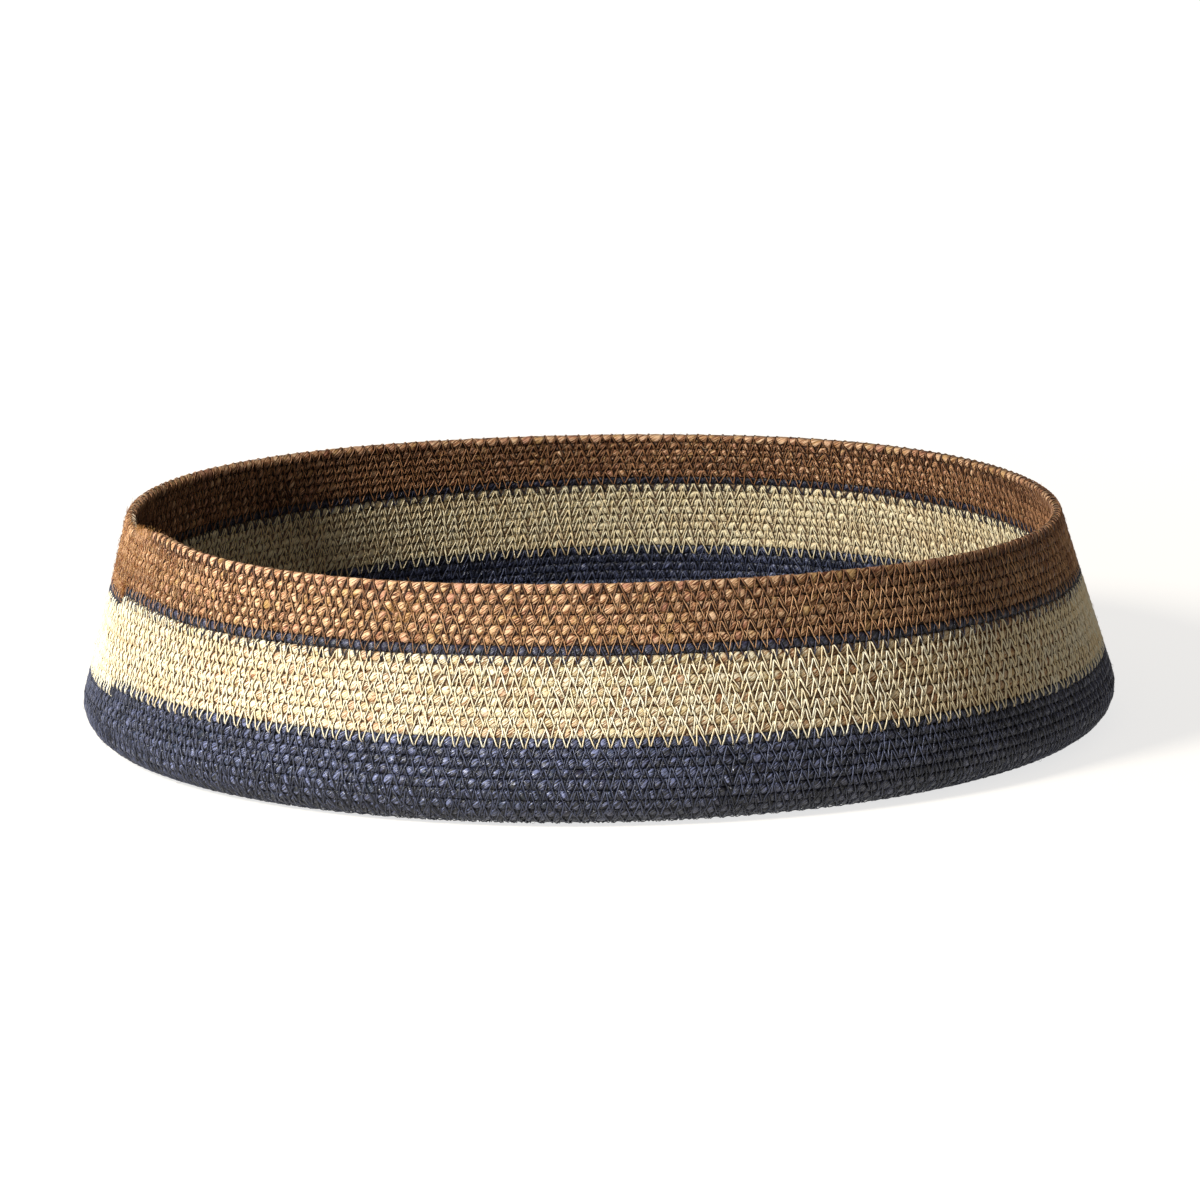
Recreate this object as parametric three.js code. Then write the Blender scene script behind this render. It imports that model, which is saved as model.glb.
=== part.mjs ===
// A low, wide basket coiled from thin rope. The rope lies in one spiral: it leaves the edge
// of the flat base, rounds the bottom corner, climbs the wall, which leans inwards, clockwise
// as seen from above, and ends at the rim. It changes colour three times on its way. On the
// outside, a zigzag sewing thread in the upper rope's colour crosses each change.
// Millimetres, +Z up. The origin is the middle of the flat underside.

import * as THREE from "three";

// Outside shape
const widestRadius = 225;
const cornerRadius = 13.3; // of the bottom corner, to the middle of the rope
const wallLean = THREE.MathUtils.degToRad(16.5); // inwards, from upright

// Rope
const ropeThickness = 4; // through the wall
const rowPitch = 4; // from one row to the next, along the wall
const rowGap = 0.45; // left free between two rows
const endGap = 0.3; // left free between two ropes that meet end to end

// Rows of the wall, from the base up to the rim
const navyRows = 9;
const naturalRows = 8;
const stripeRows = 1;
const brownRows = 6;

// Spiral
const baseWrap = 1.7; // how far round the corner the base has come where the wall rope starts
const seamAzimuth = THREE.MathUtils.degToRad(202.6); // where the ropes meet and the last one ends
const stepsPerTurn = 24;

// Sewing threads
const threadThickness = 0.6;
const threadClearance = 0.35; // between a thread and the rows it crosses
const zigzagsPerTurn = 240;
const stitchTop = 3.75; // how far up its own row a thread starts
const naturalReach = 4.6; // how far below its own row each thread comes
const stripeReach = 3.5;
const brownReach = 3.4;

// Colours
const navy = new THREE.Color(0.055, 0.065, 0.11);
const natural = new THREE.Color(0.62, 0.52, 0.36);
const stripeNavy = new THREE.Color(0.07, 0.08, 0.19);
const brown = new THREE.Color(0.44, 0.24, 0.11);

const halfThickness = ropeThickness / 2;
const flatRadius = widestRadius - cornerRadius - halfThickness;
const cornerTurn = Math.PI / 2 + wallLean;
const cornerLength = cornerRadius * cornerTurn;

// The middle of the wall at a distance along its profile from the edge of the flat underside,
// which is less than zero on the flat, and the direction out of the wall there.
function profileAt(distance) {
  const turned = THREE.MathUtils.clamp(distance / cornerRadius, 0, cornerTurn);
  const straight = Math.min(distance, 0) + Math.max(distance - cornerLength, 0);
  return {
    radius: flatRadius + cornerRadius * Math.sin(turned) + straight * Math.cos(turned),
    height: halfThickness + cornerRadius * (1 - Math.cos(turned)) + straight * Math.sin(turned),
    outward: new THREE.Vector2(Math.sin(turned), -Math.cos(turned)),
  };
}

// A point at an azimuth and a distance along the profile, moved out of the wall by offset.
function wallPoint(azimuth, distance, offset) {
  const { radius, height, outward } = profileAt(distance);
  const out = radius + offset * outward.x;
  const up = height + offset * outward.y;
  return new THREE.Vector3(out * Math.cos(azimuth), out * Math.sin(azimuth), up);
}

// The underside of the row that lies at so many turns up the spiral.
function rowStart(turns) {
  return baseWrap + rowPitch * turns;
}

function azimuthAt(turns) {
  return seamAzimuth - 2 * Math.PI * turns;
}

// A point of the spiral, rise above the underside of its row. Between two steps it lies on the
// straight line that joins them, as the ropes do.
function spiralPoint(turns, rise, offset) {
  const step = Math.floor(turns * stepsPerTurn);
  const atStep = (whole) => {
    const there = whole / stepsPerTurn;
    return wallPoint(azimuthAt(there), rowStart(there) + rise, offset);
  };
  return atStep(step).lerp(atStep(step + 1), turns * stepsPerTurn - step);
}

// A closed solid's geometry from its triangles, less those that have no area.
function solidOf(triangles) {
  const whole = triangles.filter(([a, b, c]) => !a.equals(b) && !b.equals(c) && !c.equals(a));
  const geometry = new THREE.BufferGeometry().setFromPoints(whole.flat());
  geometry.computeVertexNormals();
  return geometry;
}

// The skin between each two neighbouring rings, along the first edges of the ring's outline.
function skinOf(rings, edges) {
  const triangles = [];
  for (let i = 1; i < rings.length; i += 1) {
    const [near, far] = [rings[i - 1], rings[i]];
    for (let j = 0; j < edges; j += 1) {
      const next = (j + 1) % near.length;
      triangles.push([near[j], far[next], near[next]], [near[j], far[j], far[next]]);
    }
  }
  return triangles;
}

// The flat face of a convex outline.
function faceOf(outline) {
  return outline.slice(2).map((corner, i) => [outline[0], corner, outline[i + 1]]);
}

// A tube through rings of equal outlines, closed by a face at each end.
function tubeOf(rings) {
  const start = faceOf([...rings[0]].reverse());
  const end = faceOf(rings[rings.length - 1]);
  return solidOf([...start, ...skinOf(rings, rings[0].length), ...end]);
}

// The rope's outline: a point towards each neighbouring row, a flat on each side of the wall.
function ropeOutline(turns) {
  const halfHeight = (rowPitch - rowGap) / 2;
  const corners = [
    [halfHeight, 0],
    [halfHeight / 2, halfThickness],
    [-halfHeight / 2, halfThickness],
    [-halfHeight, 0],
    [-halfHeight / 2, -halfThickness],
    [halfHeight / 2, -halfThickness],
  ];
  return corners.map(([rise, offset]) => spiralPoint(turns, rowPitch / 2 + rise, offset));
}

// The outlines of a rope that fills rows from firstRow on. Half of endGap is left at each end.
function ropeRings(firstRow, rows) {
  const shortened = endGap / 2 / (2 * Math.PI * profileAt(rowStart(firstRow)).radius);
  const stations = [firstRow + shortened];
  const steps = Math.round(rows * stepsPerTurn);
  for (let step = 1; step < steps; step += 1) {
    stations.push(firstRow + step / stepsPerTurn);
  }
  stations.push(firstRow + rows - shortened);
  return stations.map(ropeOutline);
}

// The least distance between a rope's rows, measured on points along its outlines.
function leastGap(rings) {
  const pointsPerEdge = 8;
  const pointsOf = (outline) =>
    outline.flatMap((corner, j) => {
      const next = outline[(j + 1) % outline.length];
      return Array.from({ length: pointsPerEdge }, (_, k) =>
        corner.clone().lerp(next, k / pointsPerEdge),
      );
    });
  const clouds = rings.map(pointsOf);
  let least = Infinity;
  for (let i = stepsPerTurn; i < clouds.length; i += 1) {
    for (const below of clouds[i - stepsPerTurn]) {
      for (const above of clouds[i]) {
        least = Math.min(least, below.distanceTo(above));
      }
    }
  }
  return least;
}

function meshOf(name, geometry, colour, roughness) {
  const material = new THREE.MeshStandardMaterial({ color: colour, roughness, metalness: 0 });
  const mesh = new THREE.Mesh(geometry, material);
  mesh.name = name;
  return mesh;
}

function makeRope(name, firstRow, rows, colour) {
  const rings = ropeRings(firstRow, rows);
  console.log(`${name}: least gap to itself ${leastGap(rings).toFixed(2)} mm`);
  return meshOf(name, tubeOf(rings), colour, 0.85);
}

// The base: a flat disc of the rope's thickness whose edge follows the spiral's first turn
// round the corner, and steps back where the wall rope starts.
function makeBase() {
  const edgeStart = rowStart(0) - rowGap / 2;
  const rings = [];
  for (let step = 0; step <= stepsPerTurn; step += 1) {
    const turns = step / stepsPerTurn;
    const stops = [-flatRadius, 0, edgeStart, edgeStart + rowPitch * turns];
    const inside = stops.map((stop) => wallPoint(azimuthAt(turns), stop, -halfThickness));
    const outside = stops.map((stop) => wallPoint(azimuthAt(turns), stop, halfThickness));
    rings.push([...inside, ...outside.reverse()]);
  }
  const last = rings[stepsPerTurn];
  const stepFace = faceOf([last[2], last[3], last[4], last[5]]);
  const skin = skinOf(rings, last.length - 1);
  return meshOf("base_coil", solidOf([...skin, ...stepFace]), navy, 0.8);
}

// A thread that zigzags along one row, from stitchTop up that row to reach below it. Its outline
// has a flat side towards the rope, and is as high at a turn as two legs that meet there.
function makeThread(name, row, reach, colour) {
  const legRun = (Math.PI * profileAt(rowStart(row)).radius) / zigzagsPerTurn;
  const legAngle = Math.atan(legRun / (stitchTop + reach));
  const halfHeight = threadThickness / 2 / Math.sin(legAngle);
  const inner = halfThickness + threadClearance;
  const rings = [];
  for (let leg = 1; leg < 2 * zigzagsPerTurn; leg += 1) {
    const turns = row + leg / (2 * zigzagsPerTurn);
    const rise = leg % 2 ? stitchTop - halfHeight : halfHeight - reach;
    rings.push([
      spiralPoint(turns, rise + halfHeight, inner),
      spiralPoint(turns, rise, inner + threadThickness),
      spiralPoint(turns, rise - halfHeight, inner),
    ]);
  }
  return meshOf(name, tubeOf(rings), colour, 0.7);
}

const firstNatural = navyRows;
const firstStripe = firstNatural + naturalRows;
const firstBrown = firstStripe + stripeRows;

const basket = new THREE.Group();
basket.add(
  makeBase(),
  makeRope("navy_wall_rope", 0, navyRows, navy),
  makeRope("natural_wall_rope", firstNatural, naturalRows, natural),
  makeRope("navy_stripe_rope", firstStripe, stripeRows, stripeNavy),
  makeRope("brown_rim_rope", firstBrown, brownRows, brown),
  makeThread("natural_seam_thread", firstNatural, naturalReach, natural),
  makeThread("stripe_seam_thread", firstStripe, stripeReach, stripeNavy),
  makeThread("brown_seam_thread", firstBrown, brownReach, brown),
);

export default basket;
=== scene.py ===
"""A low basket coiled from thin plant-fibre rope and sewn row by row with a zigzag thread.

The rope lies in one spiral. It starts in the middle of the base, rounds the bottom corner and
climbs the wall, which leans inwards, clockwise as seen from above. Every rope, stitch and stray
fibre is placed on that spiral, with the slight unevenness of the real basket. Metres, +Z up.
"""

import math

import bpy
import numpy as np
from mathutils import Matrix, Vector


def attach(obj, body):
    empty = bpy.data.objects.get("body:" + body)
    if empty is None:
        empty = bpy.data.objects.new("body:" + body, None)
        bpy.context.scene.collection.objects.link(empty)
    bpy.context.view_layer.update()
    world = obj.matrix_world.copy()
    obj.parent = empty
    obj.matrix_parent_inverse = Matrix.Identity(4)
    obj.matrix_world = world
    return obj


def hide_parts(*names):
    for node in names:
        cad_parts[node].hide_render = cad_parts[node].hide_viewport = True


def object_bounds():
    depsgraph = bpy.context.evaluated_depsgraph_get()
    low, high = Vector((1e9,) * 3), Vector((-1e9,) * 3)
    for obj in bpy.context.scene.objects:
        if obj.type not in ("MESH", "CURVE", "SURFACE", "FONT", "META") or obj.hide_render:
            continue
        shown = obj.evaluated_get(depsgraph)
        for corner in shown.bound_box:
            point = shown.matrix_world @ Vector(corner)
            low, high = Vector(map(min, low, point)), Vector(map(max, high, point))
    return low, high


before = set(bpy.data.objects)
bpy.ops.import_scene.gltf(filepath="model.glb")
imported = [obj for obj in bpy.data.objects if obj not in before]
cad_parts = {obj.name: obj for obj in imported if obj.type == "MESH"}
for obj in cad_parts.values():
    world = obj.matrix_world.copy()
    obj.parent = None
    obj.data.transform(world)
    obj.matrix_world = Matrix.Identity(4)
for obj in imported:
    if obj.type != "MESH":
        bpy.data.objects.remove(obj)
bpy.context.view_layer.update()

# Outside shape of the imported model
WIDEST_RADIUS = 0.225
CORNER_RADIUS = 0.0133
WALL_LEAN = math.radians(16.5)
ROPE_HALF = 0.002
PITCH = 0.004
BASE_WRAP = 0.0017
SEAM = math.radians(202.6)
FLAT_RADIUS = WIDEST_RADIUS - CORNER_RADIUS - ROPE_HALF
CORNER_TURN = math.pi / 2 + WALL_LEAN
CORNER_LENGTH = CORNER_RADIUS * CORNER_TURN

# Turns of the spiral at which the ropes meet; the wall starts at 0
COIL_START = -52.62
NAVY_END = 9.005
NATURAL_END = 17.02
STRIPE_END = 18.02
COIL_END = 24.028

# The basket's unevenness: how far its round leaves the circle and its rim the level, as
# shares that grow from the floor to the rim
RIM_HEIGHT = 0.09
OUT_OF_ROUND = ((2, 0.0026, -0.00424), (3, -0.00519, 0.00164), (4, -0.01112, -0.00611))
OUT_OF_LEVEL = ((1, -0.0149, 0.00001), (2, 0.0002, -0.00658), (3, -0.00347, 0.00345))
RIM_SHIFT = (-0.00488, 0.00152)
RIM_NARROWER = 0.00549
TALLER = 0.02945

# The same for the rows half-way up, and the lift of the wall beside the rope's end
MIDDLE_LIFT = -0.00069
MIDDLE_OUT_OF_LEVEL = ((1, 0.01156, 0.02121), (2, -0.01911, 0.01147))
END_LIFT = 0.0016
END_LIFT_AT = math.radians(204)
END_LIFT_WIDTH = math.radians(9)

# Rope: half its thickness through the wall, half its height, and the twist of its two strands
ROPE_RADIUS = 0.00206
ROPE_TALL = 0.00225
ROPE_GIRTH = 2 * math.pi * ROPE_RADIUS
SQUARENESS = 2.5  # of the pressed section, where 2 is an ellipse
LAY_LENGTH = 0.0195
PLY_DEPTH = 0.07
RINGS_PER_STITCH = 10
BASE_RINGS_PER_STITCH = 3

# Lumps of the rope: their length and, as shares of its radius, their height
ROUGH_LENGTH, ROUGH_HEIGHT = 0.0024, 0.12
SLOW_LENGTH, SLOW_HEIGHT = 0.011, 0.05
BEAD_HEIGHT = 0.05
BEAD_KINDS = 4096

# The groove that a leg of the stitches presses, and the painted shade in a line beside it, which
# is narrower outside the zigzag's corners than inside them
GROOVE_DEPTH = 0.0005
GROOVE_WIDTH = 0.0005
SHADE_WIDTH = 0.0005
SHADE_OUTSIDE = 1.2
SHADE_INSIDE = 0.5
LEG_SLANT = 0.465  # half a stitch times the sine of a leg's angle to its row

# The rope's ends: rounded where two ropes meet, tapered and sunk at the rim
BLUNT_LENGTH = 0.0004
ROUND_LENGTH = 0.0024
TAPER_LENGTH = 0.04
TAPER_POWER = 0.7
END_THICKNESS = 0.22
END_SINK = 0.0019
END_OVERLAP = 0.0014  # turns that a rope's end lies in the start of the next one

# The rope's start in the middle of the base, and the knot that fills it
START_LENGTH = 0.02
START_THICKNESS = 0.86
MIDDLE_RADIUS = 0.0048
MIDDLE_FLATNESS = 0.36

# Stitches: their length, the part of the wall from which they line up, and the height of
# their upper and lower tips from the middle of their row
STITCH_LENGTH = 0.005714
STITCH_DRIFT = 0.2
DRIFT_LENGTH = 0.04
ALIGNED_FROM = 5.25
ALIGNED_STITCHES = 249.9
TIP_RISES = (0.0017, -0.0054)
NATURAL_TIP_RISES = (0.0018, -0.0062)
RIM_TIP = 0.00222
TIP_JITTER = 0.1
RISE_JITTER = 0.0004

# How far out a thread lies: over the rows, between them, at its tips and over the rim
THREAD_LIFT = 0.00012
BETWEEN_ROWS = (-0.0034, -0.0006)
BETWEEN_ROWS_OFFSET = 0.00178
TIP_OFFSET = 0.0011
LOWER_ROW_FROM = 0.0012
LOWER_ROW_BLEND = 0.002
OWN_ROW_BLEND = 0.0012
RIM_FROM, RIM_OFFSET = 0.0021, 0.0001
SLACK_RATE, SLACK = 2.3, 0.00012

# Where the points of a leg lie, as shares of its height and of its run, from its upper tip
LEG_SHARES = np.array([0, 0.035, 0.17, 0.40, 0.58, 0.80, 0.962])
LEG_RUNS = np.array([0, 0.085, 0.20, 0.41, 0.58, 0.78, 0.912])
RIM_LEG_SHARES = np.array([0, 0.035, 0.12, 0.36, 0.58, 0.80, 0.962])
RIM_LEG_RUNS = np.array([0, 0.07, 0.15, 0.37, 0.57, 0.78, 0.912])

# Tables, what stands for a missing zigzag, and random draws
NOISE_CELLS = (512, 64)
TABLE_STEPS = 64000
SPARE_TURNS = 0.02
SPARE_TIPS = 8
OUTWARD_STEP = 0.0005  # by which the direction out of the wall is found
NO_SEWING = -9.0  # in place of the share
FAR_AWAY = 1.0  # in place of the distance
SEED = 11


def profile(distance):
    """Radius, height and outward direction of the wall's middle along its profile."""
    turned = np.clip(distance / CORNER_RADIUS, 0, CORNER_TURN)
    straight = np.minimum(distance, 0) + np.maximum(distance - CORNER_LENGTH, 0)
    radius = FLAT_RADIUS + CORNER_RADIUS * np.sin(turned) + straight * np.cos(turned)
    height = ROPE_HALF + CORNER_RADIUS * (1 - np.cos(turned)) + straight * np.sin(turned)
    return radius, height, np.sin(turned), -np.cos(turned)


def place(turns, rise, offset):
    """Points on the wall: rise above the middle of the row at turns, offset out of the wall."""
    radius, height, out_r, out_z = profile(BASE_WRAP + PITCH * (turns + 0.5) + rise)
    radius = radius + offset * out_r
    height = height + offset * out_z
    azimuth = SEAM - 2 * math.pi * turns
    share = height / RIM_HEIGHT
    widening = 1 + share * RIM_NARROWER
    past_end = np.mod(azimuth - END_LIFT_AT + math.pi, 2 * math.pi) - math.pi
    lift = END_LIFT / RIM_HEIGHT * np.exp(-((past_end / END_LIFT_WIDTH) ** 2))
    middle_lift = MIDDLE_LIFT
    for wave, along, across in OUT_OF_ROUND:
        bend = along * np.cos(wave * azimuth) + across * np.sin(wave * azimuth)
        widening = widening + share * bend
    for wave, along, across in OUT_OF_LEVEL:
        lift = lift + along * np.cos(wave * azimuth) + across * np.sin(wave * azimuth)
    for wave, along, across in MIDDLE_OUT_OF_LEVEL:
        bend = along * np.cos(wave * azimuth) + across * np.sin(wave * azimuth)
        middle_lift = middle_lift + bend
    lift = lift + 4 * (1 - share) * middle_lift
    x = radius * widening * np.cos(azimuth) + share * RIM_HEIGHT * RIM_SHIFT[0]
    y = radius * widening * np.sin(azimuth) + share * RIM_HEIGHT * RIM_SHIFT[1]
    z = height * (1 + TALLER) + share * RIM_HEIGHT * lift
    return np.stack(np.broadcast_arrays(x, y, z), axis=-1)


def value_noise(x, y, seed):
    """Smooth noise from 0 to 1 on a grid of unit cells, which repeats."""
    columns, rows = NOISE_CELLS
    table = np.random.default_rng(seed).random(NOISE_CELLS)
    column, row = np.floor(x).astype(int), np.floor(y).astype(int)
    fx, fy = x - column, y - row
    fx, fy = fx * fx * (3 - 2 * fx), fy * fy * (3 - 2 * fy)
    next_column, next_row = (column + 1) % columns, (row + 1) % rows
    column, row = column % columns, row % rows
    here = table[column, row] * (1 - fx) + table[next_column, row] * fx
    above = table[column, next_row] * (1 - fx) + table[next_column, next_row] * fx
    return here * (1 - fy) + above * fy


# The spiral's length and its stitch count, against its turns
TABLE_TURNS = np.linspace(COIL_START, COIL_END + SPARE_TURNS, TABLE_STEPS)
_radii = profile(BASE_WRAP + PITCH * (TABLE_TURNS + 0.5))[0]
_steps = np.diff(TABLE_TURNS) * math.pi * (_radii[1:] + _radii[:-1])
TABLE_LENGTH = np.concatenate([[0], np.cumsum(_steps)])
# On the wall each turn has one stitch less than the turn below it, so that neighbouring rows'
# stitches keep the same place beside each other
_aligned = np.diff(TABLE_TURNS) * (ALIGNED_STITCHES - TABLE_TURNS[1:])
_stitches = np.where(TABLE_TURNS[1:] > ALIGNED_FROM, _aligned, _steps / STITCH_LENGTH)
_drift = value_noise(TABLE_LENGTH / DRIFT_LENGTH, np.zeros(TABLE_STEPS), SEED) - 0.5
TABLE_STITCH = np.concatenate([[0], np.cumsum(_stitches)]) + 2 * STITCH_DRIFT * _drift
# The length of rope in the table beyond the rope's end
END_SPARE = TABLE_LENGTH[-1] - np.interp(COIL_END, TABLE_TURNS, TABLE_LENGTH)


def stitch_at(turns):
    return np.interp(turns, TABLE_TURNS, TABLE_STITCH)


def turns_at(stitch):
    return np.interp(stitch, TABLE_STITCH, TABLE_TURNS)


def length_at(turns):
    return np.interp(turns, TABLE_TURNS, TABLE_LENGTH)


def end_taper(turns):
    """Where the rope thins towards its end at the rim: its thickness as a share, and how far
    its middle sinks onto the row below."""
    near = np.clip((TABLE_LENGTH[-1] - END_SPARE - length_at(turns)) / TAPER_LENGTH, 0, 1)
    return END_THICKNESS + (1 - END_THICKNESS) * near ** TAPER_POWER, END_SINK * (1 - near)


# The tips of the zigzag: even ones lie at the top of their row, odd ones over the row below
TIP_COUNT = int(2 * TABLE_STITCH[-1]) + SPARE_TIPS
_random = np.random.default_rng(SEED + 1)
TIP_STITCH = np.arange(TIP_COUNT) / 2 + TIP_JITTER * _random.normal(size=TIP_COUNT)
_tip_turns = turns_at(TIP_STITCH)
_is_natural = (_tip_turns > NAVY_END) & (_tip_turns < NATURAL_END)
_top = np.where(_is_natural, NATURAL_TIP_RISES[0], TIP_RISES[0])
_low = np.where(_is_natural, NATURAL_TIP_RISES[1], TIP_RISES[1])
_is_upper = np.arange(TIP_COUNT) % 2 == 0
TIP_RISE = np.where(_is_upper, _top, _low)
TIP_RISE = TIP_RISE + RISE_JITTER * _random.normal(size=TIP_COUNT)
_on_rim = (_tip_turns > COIL_END - 1) & _is_upper
_end_share, _end_sink = end_taper(_tip_turns)
TIP_RISE = np.where(_on_rim, RIM_TIP * _end_share - _end_sink, TIP_RISE)


def sewing_at(stitch, rise):
    """Where points on a row lie in its zigzag: along it in stitches, so that a tip comes at each
    half, and from its upper tips to its lower ones as a share."""
    beside = np.interp(stitch, TIP_STITCH, np.arange(TIP_COUNT) / 2)
    nearest = np.clip(np.round(2 * beside).astype(int), 0, TIP_COUNT - 2)
    upper = TIP_RISE[nearest + nearest % 2]
    lower = TIP_RISE[nearest + 1 - nearest % 2]
    return beside, (upper - rise) / (upper - lower)


def legs_near(stitch, rise):
    """Distance from points on a row to the nearest leg of the zigzag sewn along it, and the
    number of legs before them."""
    nearest = np.full(np.shape(stitch + rise), FAR_AWAY)
    passed = np.zeros(np.shape(stitch + rise), int)
    first = np.floor(2 * stitch).astype(int)
    for step in (-1, 0, 1):
        start = np.clip(first + step, 0, TIP_COUNT - 2)
        ax, ay = TIP_STITCH[start] * STITCH_LENGTH, TIP_RISE[start]
        bx, by = TIP_STITCH[start + 1] * STITCH_LENGTH, TIP_RISE[start + 1]
        px, py = stitch * STITCH_LENGTH - ax, rise - ay
        along = (px * (bx - ax) + py * (by - ay)) / ((bx - ax) ** 2 + (by - ay) ** 2)
        along = np.clip(along, 0, 1)
        gap = np.hypot(px - along * (bx - ax), py - along * (by - ay))
        nearest = np.minimum(nearest, gap)
        crossing = (bx - ax) * np.clip(py / (by - ay), 0, 1)
        passed = np.where(px > crossing, start + 1, passed)
    return nearest, passed


def new_mesh(name, points, quads, caps, material):
    """A mesh of four-sided faces and equal caps, with room for its maps."""
    mesh = bpy.data.meshes.new(name)
    mesh.vertices.add(len(points))
    mesh.vertices.foreach_set("co", points.astype(np.float32).ravel())
    loops = np.concatenate([quads.ravel(), caps.ravel()])
    mesh.loops.add(len(loops))
    mesh.loops.foreach_set("vertex_index", loops.astype(np.int32))
    cap_starts = quads.size + caps.shape[1] * np.arange(len(caps))
    starts = np.concatenate([np.arange(len(quads)) * 4, cap_starts])
    mesh.polygons.add(len(starts))
    mesh.polygons.foreach_set("loop_start", starts.astype(np.int32))
    mesh.update(calc_edges=True)
    mesh.polygons.foreach_set("use_smooth", np.ones(len(starts), bool))
    mesh.materials.append(material)
    return mesh


def add_map(mesh, name, u, v):
    both = np.stack([u, v], axis=-1).astype(np.float32)
    mesh.uv_layers.new(name=name).data.foreach_set("uv", both.ravel())


def add_vectors(mesh, name, values):
    layer = mesh.attributes.new(name=name, type="FLOAT_VECTOR", domain="POINT")
    layer.data.foreach_set("vector", values.astype(np.float32).ravel())


def finish_piece(mesh, tint):
    colours = mesh.color_attributes.new(name="tint", type="FLOAT_COLOR", domain="POINT")
    colours.data.foreach_set("color", tint.astype(np.float32).ravel())
    mesh.validate()
    piece = bpy.data.objects.new(mesh.name, mesh)
    bpy.context.scene.collection.objects.link(piece)
    return piece


def tube_mesh(name, rings, lay, tint, material, strips, sewing=None):
    """A closed tube through rings of points. Lay gives each ring's place along it, each side's
    place around it, and its girth. Its skin is baked in strips, with its two ends above them."""
    count, sides = rings.shape[:2]
    index = np.arange(count * sides).reshape(count, sides)
    turned = np.roll(index, -1, axis=1)
    quads = np.stack([index[:-1], turned[:-1], turned[1:], index[1:]], axis=-1).reshape(-1, 4)
    caps = np.stack([index[0], index[-1][::-1]])
    mesh = new_mesh(name, rings.reshape(-1, 3), quads, caps, material)
    around = np.concatenate([lay[1], [lay[2]]])
    corner = np.tile(np.array([0, 1, 1, 0]), len(quads))
    side = corner + np.repeat(np.tile(np.arange(sides), count - 1), 4)
    segment = np.repeat(np.repeat(np.arange(count - 1), sides), 4)
    ring = segment + np.tile([0, 0, 1, 1], len(quads))
    cap_ring = np.concatenate([np.zeros(sides, int), np.full(sides, count - 1)])
    cap_side = np.concatenate([np.arange(sides), np.arange(sides)[::-1]])
    along = np.concatenate([lay[0][ring], lay[0][cap_ring]])
    across = np.concatenate([around[side], around[cap_side]])
    add_map(mesh, "Lay", along, across)
    per_strip = math.ceil((count - 1) / strips)
    strip = segment // per_strip
    margin, strip_length, strip_gap, strip_width = 0.003, 0.994, 0.06, 0.88
    strips_height, cap_height, cap_radius, cap_apart = 0.985, 0.993, 0.005, 0.1
    bake_u = (ring - strip * per_strip) / per_strip * strip_length + margin
    bake_v = (strip + strip_gap + strip_width * side / sides) / strips * strips_height
    cap_angle = 2 * math.pi * np.arange(sides) / sides
    cap_u = 0.5 + cap_radius * np.cos(cap_angle)
    cap_v = cap_height + cap_radius * np.sin(cap_angle)
    bake_u = np.concatenate([bake_u, cap_u - cap_apart, cap_u + cap_apart])
    bake_v = np.concatenate([bake_v, cap_v, cap_v])
    add_map(mesh, "OFBake", bake_u, bake_v)
    if sewing:
        add_vectors(mesh, "own stitches", sewing[0])
        add_vectors(mesh, "stitches above", sewing[1])
    return finish_piece(mesh, tint)


def dress(piece, slot, *nodes):
    """Attach a piece to the root body and hide the solids that it shows instead of; its slot is
    not used.
    """
    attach(piece, "root")
    if nodes:
        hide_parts(*nodes)


# Round the rope's section, fine where it shows and coarse where it meets its neighbours
WALL_ANGLES = np.radians(
    [0, 21, 43, 66, 90, 114, 137, 159, 180, 201, 223, 246, 270, 294, 317, 339]
)
BASE_ANGLES = np.radians([0, 28, 60, 90, 120, 152, 180, 208, 240, 270, 300, 332])


def rope_taper(turns, first):
    """The rope's thickness along its length, as a share, and how far its middle sinks. It
    changes at the rope's own two ends only."""
    length = length_at(turns)
    to_end = np.minimum(length - length[0], length[-1] - length)
    rounded = np.clip((to_end + BLUNT_LENGTH) / ROUND_LENGTH, 0, 1)
    taper = np.sqrt(1 - (1 - rounded) ** 2)
    share, sink = end_taper(turns)
    taper = taper * share
    if first == COIL_START:
        near = np.clip((length - length[0]) / START_LENGTH, 0, 1)
        taper = taper * (START_THICKNESS + (1 - START_THICKNESS) * near)
    return taper, sink


def section(angle):
    """The pressed rope's radius round its section; angle 0 points out of the wall."""
    out = (np.abs(np.cos(angle)) / ROPE_RADIUS) ** SQUARENESS
    along = (np.abs(np.sin(angle)) / ROPE_TALL) ** SQUARENESS
    return (out + along) ** (-1 / SQUARENESS)


def surface_over(rise):
    """How far out of the wall the pressed rope reaches at a rise from its middle."""
    share = np.clip(np.abs(rise) / ROPE_TALL, 0, 1)
    return ROPE_RADIUS * (1 - share ** SQUARENESS) ** (1 / SQUARENESS)


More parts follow.
